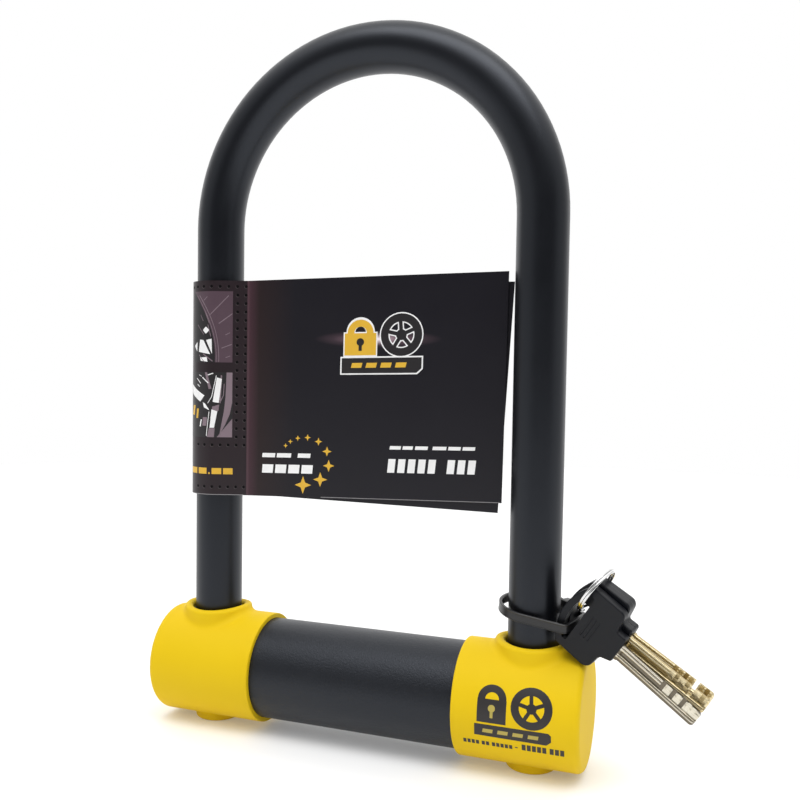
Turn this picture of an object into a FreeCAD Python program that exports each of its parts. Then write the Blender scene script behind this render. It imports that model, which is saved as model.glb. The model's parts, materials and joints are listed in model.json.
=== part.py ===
import FreeCAD, Part
import math
import os

from FreeCAD import Placement, Rotation, Vector

# A heavy U lock that stands on its crossbar, with its card sleeve and its keys tied on.
# Millimetres. Origin: middle of the crossbar's axis. +X runs along the crossbar, +Z runs up
# the legs of the shackle, -Y is the front. The keyhole is on the back.

# --- driving dimensions ---------------------------------------------------------------
CLEARANCE = 227.0        # clear height between the crossbar and the shackle's crown
LEG_SPACING = 140.0      # between the axes of the two legs
BAR_R = 9.0              # hardened steel bar of the shackle
COAT_R = 10.0            # outside of its vinyl coat
COAT_GAP = 0.03          # the coat's bore stands this far off the bar
TUBE_R = 21.0            # crossbar tube, outside
TUBE_WALL = 3.0
TUBE_HALF = 89.3         # half the tube's length
CAP_WALL = 2.0           # soft caps over the tube's ends
CAP_RIM_X = 43.5         # where each cap starts
CAP_END_X = 91.5         # flat end of each cap
LEG_END_Z = -19.0        # bottom of each leg
FIT = 0.05               # gap between pieces that are pressed or glued together
RUN = 0.08               # radial running clearance

LEG_X = LEG_SPACING / 2
BEND_R = LEG_SPACING / 2
TUBE_IN = TUBE_R - TUBE_WALL
BEND_Z = TUBE_R + CLEARANCE - BEND_R + COAT_R
INSERT_R = TUBE_IN - FIT
CAP_R = TUBE_R + CAP_WALL
LEG_BORE_R = BAR_R + 0.25

# collar round each leg and foot under it
COLLAR_R = 14.5
COLLAR_HOLE_R = 11.0
COLLAR_TOP_Z = 26.0
SADDLE_R = 77.0
FOOT_R = 9.6
FOOT_Z = -24.5

# bolts and cam: the bolts move out as the core turns
BOLT_HALF = 6.0          # half the width of the square nose
BOLT_TIP_X = 60.5        # nose at rest, withdrawn
BOLT_TRAVEL = 4.0        # for a quarter turn of the core
ARM_HALF = 4.0
ARM_Z = (12.4, 15.4)
ARM_START_X = 4.2
RISER_X = (38.0, 46.0)
CAM_R = 12.2
CAM_Z = (10.2, 12.2)
PIN_R = 1.25
PIN_START = 6.2          # radius of the bolt pins at rest
PIN_BOTTOM_Z = 10.4

# cylinder: built upright with its keyhole down, then turned so that the keyhole faces back
KEYHOLE_TURN = 90.0
BODY_HALF = 34.0
HOUSING_R = 11.95
HOUSING_Z = (-17.2, 9.95)
BEZEL_R = 13.2
BEZEL_Z = (-22.6, -9.0)
CORE_R = 8.4
CORE_Z = (-20.7, 9.95)
CORE_BORE_R = 6.8
CORE_BORE_Z = (-18.7, 8.3)
TENON = 6.0
KEYWAY = (7.2, 3.0)
DISC_R = 6.7
DISC_COUNT = 10
DISC_Z = -16.4
DISC_PITCH = 2.2
DISC_THICK = 1.5
SPACER_THICK = 0.6
SPACER_R, SPACER_HOLE_R = 5.8, 4.2
SIDEBAR_Z = (-15.0, 6.0)
SIDEBAR_HALF = 1.15
SIDEBAR_Y = (5.95, 8.3)
SIDEBAR_THROW = 0.8
SHUTTER_R = 6.6
SHUTTER_PIVOT_Y = 10.3
SHUTTER_Z = (-23.3, -22.7)
BODY_PIN_X = 25.0
BODY_PIN_R = 2.5

# card sleeve round the left leg
CARD_THICK = 0.4
CARD_HEIGHT = 91.0
CARD_WRAP_R = 11.6
CREASE = Vector(-53.3, -5.6, 120.25)
CREASE_R = 0.45
CARD_YAW = 5.3                   # the leaves run back a little, degrees
# corners of each leaf, x along it and z up from the crease: the two fan apart to the right
FRONT_LEAF = ((0.3, 45.5), (-0.4, -45.5), (109.0, -43.4), (110.1, 47.5))
BACK_LEAF = ((0.2, 45.2), (-0.4, -45.0), (107.4, -47.5), (112.3, 43.5))

# keys: each is drawn flat, blade along +X, front face up, then set in its place
KEY_YAW, KEY_LEAN, KEY_DIP = -16.0, 4.9, -34.5
KEY_ORIGIN = Vector(101.0, -16.2, 30.1)
KEY_THICK = 4.0
KEY_STEP = 4.3
KEY_FAN = (0.0, 3.0, 4.5)        # degrees about the strap
KEY_SHIFT = (0.0, 1.1, 0.3)      # across the blade
KEY_PIVOT = Vector(-16.1, -6.0, 0)
BOW_HALF = 13.8
BOW_ARC_R = 22.5
BOW_ARC_X = 0.5
BOW_RIM = 2.8
BOW_PANEL_X = -14.3
BOW_WEB, BOW_WEB_Y = 1.0, 5.0    # the pocket's floor, and where it starts
BLADE_HALF = 3.3
BLADE_THICK = 2.4
BLADE_END = 36.5
SHANK_START = -9.0
KEY_CUTS = ((1.0, 0.4, 1.3, 0.6, 1.3, 0.9, 0.4), (0.5, 1.2, 0.7, 1.3, 2.4, 0.6, 1.0),
            (0.9, 0.4, 1.2, 0.8, 2.4, 0.5, 1.1))
CUT_START, CUT_PITCH, CUT_WIDE = 20.5, 2.1, 1.5

# split ring through the bows
RING_R = 9.5
RING_CENTRE = Vector(-16.9, 10.6, -6.3)
RING_WIDE, RING_DEEP = 2.0, 1.0

# cable tie: a band round the leg and through the bows
TIE_WIDE = 3.6
TIE_HALF = 0.6
TIE_LOOP_R = 12.6
TIE_LOOP_X = -0.6
TIE_CORNER_R = 1.8


# --- helpers --------------------------------------------------------------------------
def cyl(radius, z0, z1, x=0.0, y=0.0):
    return Part.makeCylinder(radius, z1 - z0, Vector(x, y, z0))


def cyl_x(radius, x0, x1):
    return Part.makeCylinder(radius, x1 - x0, Vector(x0, 0, 0), Vector(1, 0, 0))


def block(x0, x1, y0, y1, z0, z1):
    return Part.makeBox(x1 - x0, y1 - y0, z1 - z0, Vector(x0, y0, z0))


def centred(half_x, half_y, z0, z1):
    return block(-half_x, half_x, -half_y, half_y, z0, z1)


def mirrored(shape):
    return shape.mirror(Vector(0, 0, 0), Vector(1, 0, 0))


def turned(shape, degrees, axis=Vector(0, 0, 1), centre=Vector(0, 0, 0)):
    copy = shape.copy()
    copy.rotate(centre, axis, degrees)
    return copy


def moved(shape, x=0.0, y=0.0, z=0.0):
    copy = shape.copy()
    copy.translate(Vector(x, y, z))
    return copy


def rounded(shape, radius, wanted):
    """Fillets every edge that the wanted() test picks."""
    return shape.makeFillet(radius, [edge for edge in shape.Edges if wanted(edge)])


def samples(edge):
    return [edge.valueAt(edge.FirstParameter + share * (edge.LastParameter - edge.FirstParameter))
            for share in (0.1, 0.37, 0.63, 0.9)]


def save(name, shape):
    if not shape.isValid():
        raise ValueError(name + " isn't valid")
    shape.exportStep("parts/" + name + ".step")


def in_lock(shape):
    """Turns a piece of the cylinder so that its keyhole faces back."""
    return turned(shape, KEYHOLE_TURN, Vector(1, 0, 0))


def arc_through(*points):
    return Part.Arc(*[Vector(x, y, 0) for x, y in points]).toShape()


def polyline(*points):
    return [Part.makeLine(Vector(*a, 0), Vector(*b, 0)) for a, b in zip(points, points[1:])]


def belt_face(circles):
    """The face inside a tight belt round circles, given anticlockwise as (x, y, radius)."""
    following = circles[1:] + circles[:1]
    leaves = [math.atan2(by - ay, bx - ax) - math.acos((ar - br) / math.hypot(bx - ax, by - ay))
              for (ax, ay, ar), (bx, by, br) in zip(circles, following)]
    arcs = []
    for index, (x, y, radius) in enumerate(circles):
        start, end = leaves[index - 1], leaves[index]
        end += 2 * math.pi * (end < start)
        arcs.append(arc_through(*[(x + radius * math.cos(turn), y + radius * math.sin(turn))
                                  for turn in (start, (start + end) / 2, end)]))
    edges = []
    for arc, after in zip(arcs, arcs[1:] + arcs[:1]):
        edges += [arc, Part.makeLine(arc.Vertexes[-1].Point, after.Vertexes[0].Point)]
    return Part.Face(Part.Wire(edges))


# --- shackle --------------------------------------------------------------------------
def bend(outer, inner=0.0):
    """Half a torus from leg to leg, hollow when inner is given."""
    at = Vector(LEG_X, 0, BEND_Z)
    face = Part.Face(Part.Wire(Part.makeCircle(outer, at)))
    if inner:
        face = face.cut(Part.Face(Part.Wire(Part.makeCircle(inner, at))))
    return face.revolve(Vector(0, 0, BEND_Z), Vector(0, -1, 0), 180)


def shackle_bar():
    chamfer = 1.5
    leg = cyl(BAR_R, LEG_END_Z + chamfer, BEND_Z, LEG_X)
    leg = leg.fuse(Part.makeCone(BAR_R - chamfer, BAR_R, chamfer, Vector(LEG_X, 0, LEG_END_Z)))
    room = BOLT_HALF + 0.3
    leg = leg.cut(block(LEG_X - BAR_R - 1, LEG_X - BAR_R + BOLT_TRAVEL, -room, room, -room, room))
    return leg.fuse([mirrored(leg), bend(BAR_R)]).removeSplitter()


def shackle_sleeve():
    bore = BAR_R + COAT_GAP
    start = TUBE_R + 0.4
    leg = cyl(COAT_R, start, BEND_Z, LEG_X).cut(cyl(bore, start, BEND_Z, LEG_X))
    return leg.fuse([mirrored(leg), bend(COAT_R, bore)]).removeSplitter()


# --- crossbar -------------------------------------------------------------------------
def crossbar_tube():
    tube = cyl_x(TUBE_R, -TUBE_HALF, TUBE_HALF).cut(cyl_x(TUBE_IN, -TUBE_HALF, TUBE_HALF))
    bores = [cyl(LEG_BORE_R, -TUBE_R, TUBE_R, x) for x in (-LEG_X, LEG_X)]
    opening = in_lock(cyl(BEZEL_R + FIT, -TUBE_R - 1, 0))
    pins = [in_lock(cyl(BODY_PIN_R + FIT, -TUBE_R - 1, 0, x)) for x in (-BODY_PIN_X, BODY_PIN_X)]
    return tube.cut(bores + [opening] + pins)


def end_cap():
    """Right cap: a thimble over the tube with a saddle collar above and a foot below."""
    end_round, rim_round, blend = 2.6, 0.5, 3.0
    foot_round, collar_round, mouth_round = 1.2, 1.5, 1.8
    body = cyl_x(CAP_R, CAP_RIM_X, CAP_END_X)
    body = rounded(body, end_round, lambda e: abs(e.BoundBox.XMin - CAP_END_X) < 0.01)
    collar = cyl(COLLAR_R, 0, COLLAR_TOP_Z + 2, LEG_X)
    collar = collar.common(Part.makeCylinder(
        SADDLE_R, 60, Vector(LEG_X - 30, 0, COLLAR_TOP_Z - SADDLE_R), Vector(1, 0, 0)))
    foot = cyl(FOOT_R, FOOT_Z, 0, LEG_X)
    cap = body.fuse([collar, foot]).removeSplitter()

    def round_leg(radius):
        return lambda e: all(abs(math.hypot(p.x - LEG_X, p.y) - radius) < 0.02 for p in samples(e))

    def on_cap(e):
        return all(abs(math.hypot(p.y, p.z) - CAP_R) < 0.02 for p in samples(e))

    def at_top(e):
        return samples(e)[0].z > CAP_R + 0.5

    collar_ring, foot_ring, hole_ring = [round_leg(r) for r in (COLLAR_R, FOOT_R, COLLAR_HOLE_R)]
    cap = rounded(cap, blend, lambda e: collar_ring(e) and on_cap(e))
    cap = rounded(cap, foot_round, lambda e: foot_ring(e) and on_cap(e))
    cap = rounded(cap, foot_round, lambda e: foot_ring(e)
                  and all(abs(p.z - FOOT_Z) < 0.01 for p in samples(e)))
    cap = cap.cut(cyl_x(TUBE_R + FIT, CAP_RIM_X - 1, TUBE_HALF + 0.2))
    cap = cap.cut(cyl(COLLAR_HOLE_R, 0, COLLAR_TOP_Z + 2, LEG_X))
    cap = rounded(cap, collar_round, lambda e: collar_ring(e) and at_top(e))
    cap = rounded(cap, mouth_round, lambda e: hole_ring(e) and at_top(e))
    return rounded(cap, rim_round, lambda e: abs(e.BoundBox.XMax - CAP_RIM_X) < 0.01
                   and abs(e.BoundBox.ZMax - CAP_R) < 0.01)


def end_plug():
    outer_face, thick = 88.5, 6.0
    return cyl_x(INSERT_R, outer_face - thick, outer_face)


def leg_guide():
    outer, half = 11.5, 13.8
    guide = cyl(outer, -half, half, LEG_X).cut(cyl(LEG_BORE_R, -half, half, LEG_X))
    room = BOLT_HALF + 0.2
    return guide.cut(block(LEG_X - outer - 1, LEG_X - 5, -room, room, -room, room))


def bolt_guide():
    room = BOLT_HALF + RUN
    start, end = 50.6, 57.4
    return cyl_x(INSERT_R, start, end).cut(block(start, end, -room, room, -room, room))


def leg_seal():
    """Wiper ring that sits on the tube's top, inside the collar."""
    bottom, top = TUBE_R + 0.3, TUBE_R + 2.0
    return cyl(COLLAR_HOLE_R - FIT, bottom, top, LEG_X).cut(cyl(COAT_R + RUN, bottom, top, LEG_X))


# --- lock mechanism -------------------------------------------------------------------
def lock_body():
    body = cyl_x(INSERT_R, -BODY_HALF, BODY_HALF)
    chamber_half = CAM_R + 0.6
    arm_room = ARM_HALF + 0.1
    cuts = [
        cyl(HOUSING_R + FIT, -TUBE_R, TUBE_R),
        cyl(BEZEL_R + FIT, -TUBE_R, BEZEL_Z[1] + FIT),
        centred(chamber_half, TUBE_R, HOUSING_Z[1] + FIT, TUBE_R),
        centred(BODY_HALF + 1, arm_room, ARM_Z[0] - 0.1, ARM_Z[1] + 0.1),
    ]
    cuts += [cyl(BODY_PIN_R + FIT, -TUBE_R, -8, x) for x in (-BODY_PIN_X, BODY_PIN_X)]
    return in_lock(body.cut(cuts))


def retaining_pins():
    pins = []
    for x in (-BODY_PIN_X, BODY_PIN_X):
        pin = cyl(BODY_PIN_R, -TUBE_R, -8.2, x)
        pins.append(rounded(pin, 0.4, lambda e: abs(e.BoundBox.ZMax + TUBE_R) < 0.01))
    return in_lock(Part.makeCompound(pins))


def cylinder_housing():
    housing = cyl(HOUSING_R, *HOUSING_Z).cut(cyl(CORE_R + FIT, *HOUSING_Z))
    half, reach = SIDEBAR_HALF + 0.15, SIDEBAR_Y[1] + SIDEBAR_THROW + 0.4
    groove = block(-half, half, 0, reach, SIDEBAR_Z[0] - 0.3, SIDEBAR_Z[1] + 0.3)
    return in_lock(housing.cut([groove, turned(groove, 90)]))


def keyhole_bezel():
    lip_r, core_room = 7.4, CORE_R + 0.1
    bezel = cyl(BEZEL_R, *BEZEL_Z)
    bezel = rounded(bezel, 1.3, lambda e: abs(e.BoundBox.ZMax - BEZEL_Z[0]) < 0.01)
    bezel = bezel.cut([
        cyl(HOUSING_R + FIT, HOUSING_Z[0] - 0.1, BEZEL_Z[1]),
        cyl(core_room, CORE_Z[0] - 0.1, BEZEL_Z[1]),
        cyl(lip_r, BEZEL_Z[0], BEZEL_Z[1]),
        cyl(1.0 + FIT, BEZEL_Z[0], -19.3, 0, SHUTTER_PIVOT_Y),
    ])
    return in_lock(rounded(bezel, 0.6, lambda e: abs(e.BoundBox.ZMax - BEZEL_Z[0]) < 0.01
                           and abs(e.BoundBox.XLength - 2 * lip_r) < 0.01))


def keyway(z0, z1):
    return centred(KEYWAY[0] / 2, KEYWAY[1] / 2, z0, z1)


def cylinder_core():
    core = cyl(CORE_R, *CORE_Z)
    core = core.fuse(centred(TENON / 2, TENON / 2, CORE_Z[1] - 0.5, CAM_Z[1])).removeSplitter()
    slot_half = SIDEBAR_HALF + 0.05
    return in_lock(core.cut([
        cyl(CORE_BORE_R, *CORE_BORE_Z),
        keyway(CORE_Z[0] - 1, CORE_BORE_Z[0] + 1),
        block(-slot_half, slot_half, 5.5, CORE_R + 1, SIDEBAR_Z[0] - 0.1, SIDEBAR_Z[1] + 0.1),
    ]))


def guard_disc():
    return in_lock(cyl(DISC_R, -18.6, -16.6).cut(keyway(-19, -16)))


def disc_detainers():
    gate_half = SIDEBAR_HALF + 0.1
    discs = []
    for index in range(DISC_COUNT):
        z0 = DISC_Z + index * DISC_PITCH
        z1 = z0 + DISC_THICK
        gate = block(-gate_half, gate_half, SIDEBAR_Y[0] - 0.2, DISC_R + 1, z0, z1)
        false_gate = turned(moved(gate, y=0.4), 70 + 37 * index % 180)
        discs.append(cyl(DISC_R, z0, z1).cut([keyway(z0, z1), gate, false_gate]))
    return in_lock(Part.makeCompound(discs))


def disc_spacers():
    spacers = []
    for index in range(DISC_COUNT):
        z0 = DISC_Z + DISC_THICK + 0.05 + index * DISC_PITCH
        z1 = z0 + SPACER_THICK
        spacers.append(cyl(SPACER_R, z0, z1).cut(cyl(SPACER_HOLE_R, z0, z1)))
    return in_lock(Part.makeCompound(spacers))


def sidebar():
    bar = block(-SIDEBAR_HALF, SIDEBAR_HALF, *SIDEBAR_Y, *SIDEBAR_Z)
    return in_lock(bar.common(cyl(CORE_R - 0.05, *SIDEBAR_Z)))


def spiral_slot():
    """Slot whose radius grows evenly as the cam turns past the pin, from rest to locked."""
    steps, half = 12, PIN_R + 0.07
    growth = BOLT_TRAVEL / (math.pi / 2)
    sides = {1: [], -1: []}
    for index in range(steps + 1):
        turn = index / steps * math.pi / 2
        radius = PIN_START + growth * turn
        outward = Vector(math.cos(turn), -math.sin(turn), 0)
        onward = Vector(-math.sin(turn), -math.cos(turn), 0)
        travel = (outward * growth + onward * radius).normalize()
        across = Vector(-travel.y, travel.x, 0)
        for side, points in sides.items():
            points.append(outward * radius + across * half * side)
    edges = []
    for side, points in sides.items():
        curve = Part.BSplineCurve()
        curve.interpolate(points[::side])
        edges.append(curve.toShape())
    ends = [edge.Vertexes for edge in edges]
    edges.insert(1, Part.makeLine(ends[0][-1].Point, ends[1][0].Point))
    edges.append(Part.makeLine(ends[1][-1].Point, ends[0][0].Point))
    slot = moved(Part.Face(Part.Wire(edges)), z=CAM_Z[0] - 1).extrude(Vector(0, 0, 4))
    last = PIN_START + BOLT_TRAVEL
    ends = [cyl(half, CAM_Z[0] - 1, CAM_Z[1] + 1, *spot) for spot in ((PIN_START, 0), (0, -last))]
    return slot.fuse(ends)


def cam_disc():
    slot = spiral_slot()
    hole = centred(TENON / 2 + FIT, TENON / 2 + FIT, *CAM_Z)
    return in_lock(cyl(CAM_R, *CAM_Z).cut([slot, turned(slot, 180), hole]))


def cam_screw():
    head = cyl(3.0, CAM_Z[1] + 0.02, CAM_Z[1] + 1.4)
    socket = Part.Face(Part.makePolygon([
        Vector(1.3 * math.cos(k * math.pi / 3), 1.3 * math.sin(k * math.pi / 3), 0)
        for k in range(7)])).extrude(Vector(0, 0, 1))
    return in_lock(head.cut(moved(socket, z=CAM_Z[1] + 0.7)))


def bolt():
    arm = block(ARM_START_X, RISER_X[1], -ARM_HALF, ARM_HALF, *ARM_Z)
    riser = block(*RISER_X, -BOLT_HALF, BOLT_HALF, -BOLT_HALF, ARM_Z[1])
    nose = block(RISER_X[0], BOLT_TIP_X, -BOLT_HALF, BOLT_HALF, -BOLT_HALF, BOLT_HALF)
    nose = nose.makeChamfer(0.8, [e for e in nose.Edges if abs(e.BoundBox.XMin - BOLT_TIP_X) < 0.01])
    shape = arm.fuse([riser, nose]).removeSplitter()
    return in_lock(shape.cut(cyl(PIN_R + 0.03, 0, 20, PIN_START)))


def bolt_pin():
    return in_lock(cyl(PIN_R, PIN_BOTTOM_Z, ARM_Z[1], PIN_START))


def keyhole_shutter():
    """Swinging dust cover that hangs from its rivet over the keyhole."""
    ear_r = 2.6
    face = belt_face([(0, 0, SHUTTER_R), (0, SHUTTER_PIVOT_Y, ear_r)])
    plate = moved(face, z=SHUTTER_Z[0]).extrude(Vector(0, 0, SHUTTER_Z[1] - SHUTTER_Z[0]))
    plate = plate.cut(cyl(1.0 + RUN, -30, 0, 0, SHUTTER_PIVOT_Y))
    return in_lock(plate)


def shutter_rivet():
    head_z = SHUTTER_Z[0] - 0.05
    head = cyl(1.9, head_z - 0.7, head_z, 0, SHUTTER_PIVOT_Y)
    head = rounded(head, 0.4, lambda e: abs(e.BoundBox.ZMax - head_z + 0.7) < 0.01)
    return in_lock(head.fuse(cyl(1.0, head_z, -19.5, 0, SHUTTER_PIVOT_Y)).removeSplitter())


# --- card sleeve ----------------------------------------------------------------------
def card_leaf(corners, side):
    outline = [Vector(x, side * CREASE_R - CARD_THICK / 2, z) for x, z in corners]
    leaf = Part.Face(Part.makePolygon(outline + outline[:1])).extrude(Vector(0, CARD_THICK, 0))
    return turned(leaf, CARD_YAW)


def card_sleeve():
    """One card folded round the left leg, its two leaves running side by side to the right."""
    half = CARD_THICK / 2
    leg = (-LEG_X - CREASE.x, -CREASE.y)
    faces = [belt_face([(leg[0], leg[1], CARD_WRAP_R + grow), (0, 0, CREASE_R + grow)])
             for grow in (half, -half)]
    wrap = faces[0].cut(faces[1]).extrude(Vector(0, 0, CARD_HEIGHT))
    wrap = moved(wrap, z=-CARD_HEIGHT / 2)
    leaves = [card_leaf(FRONT_LEAF, -1), card_leaf(BACK_LEAF, 1)]
    return moved(wrap.fuse(leaves).removeSplitter(), *CREASE)


# --- keys, ring and tie ---------------------------------------------------------------
def key_rotation():
    upright = Rotation(Vector(1, 0, 0), 90 + KEY_LEAN)
    return Rotation(Vector(0, 0, 1), KEY_YAW) * upright * Rotation(Vector(0, 0, 1), KEY_DIP)


def in_key_place(shape, index):
    copy = shape.copy()
    copy.rotate(KEY_PIVOT, Vector(0, 0, 1), KEY_FAN[index])
    copy.translate(Vector(0, KEY_SHIFT[index], -index * KEY_STEP))
    copy.Placement = Placement(KEY_ORIGIN, key_rotation()) * copy.Placement
    return copy


def bow_blank():
    """D-shaped plastic bow with a shoulder and a short neck where the blade leaves it."""
    corner_x = BOW_ARC_X - math.sqrt(BOW_ARC_R ** 2 - BOW_HALF ** 2)
    low, high = (corner_x, -BOW_HALF), (corner_x, BOW_HALF)
    rounds = {(-2.2, -BOW_HALF): 3.4, (-1.4, -6.4): 2.0, (2.9, -4.6): 1.0, (2.9, 6.3): 1.2,
              (-1.6, 6.3): 1.0, (-2.1, BOW_HALF): 2.8}
    edges = [arc_through(high, (BOW_ARC_X - BOW_ARC_R, 0), low)] + polyline(low, *rounds, high)
    bow = Part.Face(Part.Wire(edges)).extrude(Vector(0, 0, KEY_THICK))
    for (x, y), radius in rounds.items():
        bow = rounded(bow, radius, lambda e: e.BoundBox.ZLength > 1
                      and e.CenterOfMass.distanceToPoint(Vector(x, y, KEY_THICK / 2)) < 0.01)
    bow = rounded(bow, 1.0, lambda e: e.BoundBox.ZLength > 1 and abs(e.CenterOfMass.x - corner_x) < 0.01)
    return moved(rounded(bow, 0.6, lambda e: e.BoundBox.ZLength < 0.01), z=-KEY_THICK)


def bow_slot():
    """Crescent between the bow's flat panel and its rim: open right through below BOW_WEB_Y,
    and a deep pocket with a thin floor above it."""
    reach, inner_r = 10.5, BOW_ARC_R - BOW_RIM
    end = BOW_ARC_X - math.sqrt(inner_r ** 2 - reach ** 2)
    edges = [arc_through((end, reach), (BOW_ARC_X - inner_r, 0), (end, -reach))]
    edges += polyline((end, -reach), (BOW_PANEL_X, -reach), (BOW_PANEL_X, reach), (end, reach))
    slot = Part.Face(Part.Wire(edges)).extrude(Vector(0, 0, 20))
    slot = rounded(slot, 0.7, lambda e: abs(e.BoundBox.ZLength - 20) < 0.01)
    floor = block(-BOW_ARC_R, 0, BOW_WEB_Y, reach + 1, -KEY_THICK - 12, -KEY_THICK + BOW_WEB)
    return moved(slot, z=-12).cut(floor)


def key_head():
    shank = blade_blank(BLADE_HALF + 0.02, BLADE_THICK / 2 + 0.02, SHANK_START - 0.02)
    groove_r, reach, above = 0.45, 4.5, 0.25
    grip = [Part.makeCylinder(groove_r, 2 * reach, Vector(x, -reach, above), Vector(0, 1, 0))
            for x in (-11.2, -9.6, -8.0)]
    return bow_blank().cut([bow_slot(), shank] + grip)


def blade_blank(half_w, half_t, start):
    mid = -KEY_THICK / 2
    return block(start, BLADE_END, -half_w, half_w, mid - half_t, mid + half_t)


def key_blade(cuts):
    """Milled blade: a low ledge, a rib, a wide groove and step cuts near the tip."""
    mid, half_t = -KEY_THICK / 2, BLADE_THICK / 2
    blade = blade_blank(BLADE_HALF, half_t, SHANK_START)
    blade = blade.makeChamfer(1.3, [e for e in blade.Edges if abs(e.BoundBox.XMin - BLADE_END) < 0.01
                                    and e.BoundBox.ZLength > 1])
    start, end = 3.6, BLADE_END + 1
    grooves = ((-3.4, -1.9, 0.7), (-1.25, -0.85, 0.45), (-0.5, 1.3, 0.75), (2.2, 2.6, 0.3))
    milled = []
    for side in (1, -1):
        for y0, y1, depth in grooves:
            top = mid + side * half_t
            low, high = sorted((top - side * depth, top + side))
            groove = block(start, end, y0, y1, low, high)
            milled.append(groove if side == 1 else groove.mirror(Vector(0, 0, 0), Vector(0, 1, 0)))
    for index, depth in enumerate(cuts):
        x0 = CUT_START + index * CUT_PITCH
        milled.append(block(x0, x0 + CUT_WIDE, -0.5, BLADE_HALF + 1,
                            mid + half_t - depth, mid + half_t + 1))
    return blade.cut(milled).removeSplitter()


def key_ring():
    section = block(-RING_WIDE / 2, RING_WIDE / 2, RING_R - RING_DEEP / 2, RING_R + RING_DEEP / 2,
                    -0.001, 0)
    face = [f for f in section.Faces if abs(f.CenterOfMass.z) < 1e-9][0]
    ring = face.revolve(Vector(0, 0, 0), Vector(1, 0, 0), 360)
    ring = rounded(ring, 0.35, lambda e: True)
    return in_key_place(moved(ring, *RING_CENTRE), 0)


def tie_placement():
    """The band's own plane holds the line through the bows' slots and falls to the right."""
    through = key_rotation().multVec(Vector(0, 0, -1))
    fall = -0.11
    rise = -(through.z + fall * -through.x) / through.y
    normal = Vector(-fall, rise, 1)
    normal.normalize()
    across = through.cross(normal)
    pivot = KEY_ORIGIN + key_rotation().multVec(KEY_PIVOT)
    height = pivot.z + ((pivot.x - LEG_X) * normal.x + pivot.y * normal.y) / normal.z
    centre = Vector(LEG_X, 0, height)
    local = pivot - centre
    place = Placement(centre, Rotation(across, through, normal, "XYZ"))
    return place, local.dot(across), local.dot(through)


def cable_tie():
    place, run_x, first_y = tie_placement()
    last_y = first_y + 3 * KEY_STEP
    corner_x = run_x - TIE_CORNER_R
    circles = [(TIE_LOOP_X, 0, TIE_LOOP_R), (corner_x, first_y - 0.5, TIE_CORNER_R),
               (corner_x, last_y + 0.2, TIE_CORNER_R)]
    faces = [belt_face([(x, y, r + grow) for x, y, r in circles]) for grow in (TIE_HALF, -TIE_HALF)]
    band = faces[0].cut(faces[1]).extrude(Vector(0, 0, TIE_WIDE))
    band = moved(band, z=-TIE_WIDE / 2)
    head_x, head_y, lean = 8.2, 10.9, -18.5
    head = block(-2.6, 2.6, -1.2, 3.2, -2.7, 2.7)
    head = rounded(head, 0.5, lambda e: True)
    tail = block(-6.5, 0, 1.3, 2.4, -TIE_WIDE / 2, TIE_WIDE / 2)
    head = moved(turned(head.fuse(tail), lean), head_x, head_y)
    tie = band.fuse(head).removeSplitter()
    tie.Placement = place * tie.Placement
    return tie


def main():
    os.makedirs("parts", exist_ok=True)
    singles = {
        "shackle_bar": shackle_bar, "shackle_sleeve": shackle_sleeve,
        "crossbar_tube": crossbar_tube, "lock_body": lock_body, "retaining_pins": retaining_pins,
        "cylinder_housing": cylinder_housing, "keyhole_bezel": keyhole_bezel,
        "cylinder_core": cylinder_core, "guard_disc": guard_disc, "disc_detainers": disc_detainers,
        "disc_spacers": disc_spacers, "sidebar": sidebar, "cam_disc": cam_disc,
        "cam_screw": cam_screw, "keyhole_shutter": keyhole_shutter, "shutter_rivet": shutter_rivet,
        "card_sleeve": card_sleeve, "key_ring": key_ring, "cable_tie": cable_tie,
    }
    pairs = {
        "end_cap": end_cap, "end_plug": end_plug, "leg_guide": leg_guide, "leg_seal": leg_seal,
        "bolt_guide": bolt_guide, "bolt": bolt, "bolt_pin": bolt_pin,
    }
    for name, build in singles.items():
        save(name, build())
    for name, build in pairs.items():
        right = build()
        save("right_" + name, right)
        save("left_" + name, mirrored(right))
    head = key_head()
    for index, cuts in enumerate(KEY_CUTS):
        save("key_%d_head" % (index + 1), in_key_place(head, index))
        save("key_%d_blade" % (index + 1), in_key_place(key_blade(cuts), index))


main()
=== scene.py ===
import json
import math

import bmesh
import bpy
from mathutils import Matrix, Vector


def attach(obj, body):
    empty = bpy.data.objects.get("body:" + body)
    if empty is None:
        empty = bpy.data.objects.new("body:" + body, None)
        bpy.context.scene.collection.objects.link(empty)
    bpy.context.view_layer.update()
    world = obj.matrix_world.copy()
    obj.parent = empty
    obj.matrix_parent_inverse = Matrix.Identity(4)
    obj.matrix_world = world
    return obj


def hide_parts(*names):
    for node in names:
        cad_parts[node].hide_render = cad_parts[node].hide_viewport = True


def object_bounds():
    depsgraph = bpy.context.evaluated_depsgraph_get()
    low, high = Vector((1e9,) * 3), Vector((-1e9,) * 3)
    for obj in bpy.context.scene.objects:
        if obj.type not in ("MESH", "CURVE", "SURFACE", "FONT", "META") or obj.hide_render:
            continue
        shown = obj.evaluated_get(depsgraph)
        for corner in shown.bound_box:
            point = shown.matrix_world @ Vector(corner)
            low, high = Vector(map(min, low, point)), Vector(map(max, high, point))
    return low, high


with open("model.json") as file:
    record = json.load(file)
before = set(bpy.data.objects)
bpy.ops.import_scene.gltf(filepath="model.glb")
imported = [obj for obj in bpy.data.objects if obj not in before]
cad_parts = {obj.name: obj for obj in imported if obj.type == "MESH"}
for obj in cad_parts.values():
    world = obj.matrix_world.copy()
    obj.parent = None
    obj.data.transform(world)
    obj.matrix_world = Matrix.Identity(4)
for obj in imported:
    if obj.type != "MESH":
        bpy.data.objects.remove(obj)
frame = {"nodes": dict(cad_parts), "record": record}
cad_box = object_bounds()
nodes = frame["nodes"]
MM = 0.001


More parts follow.
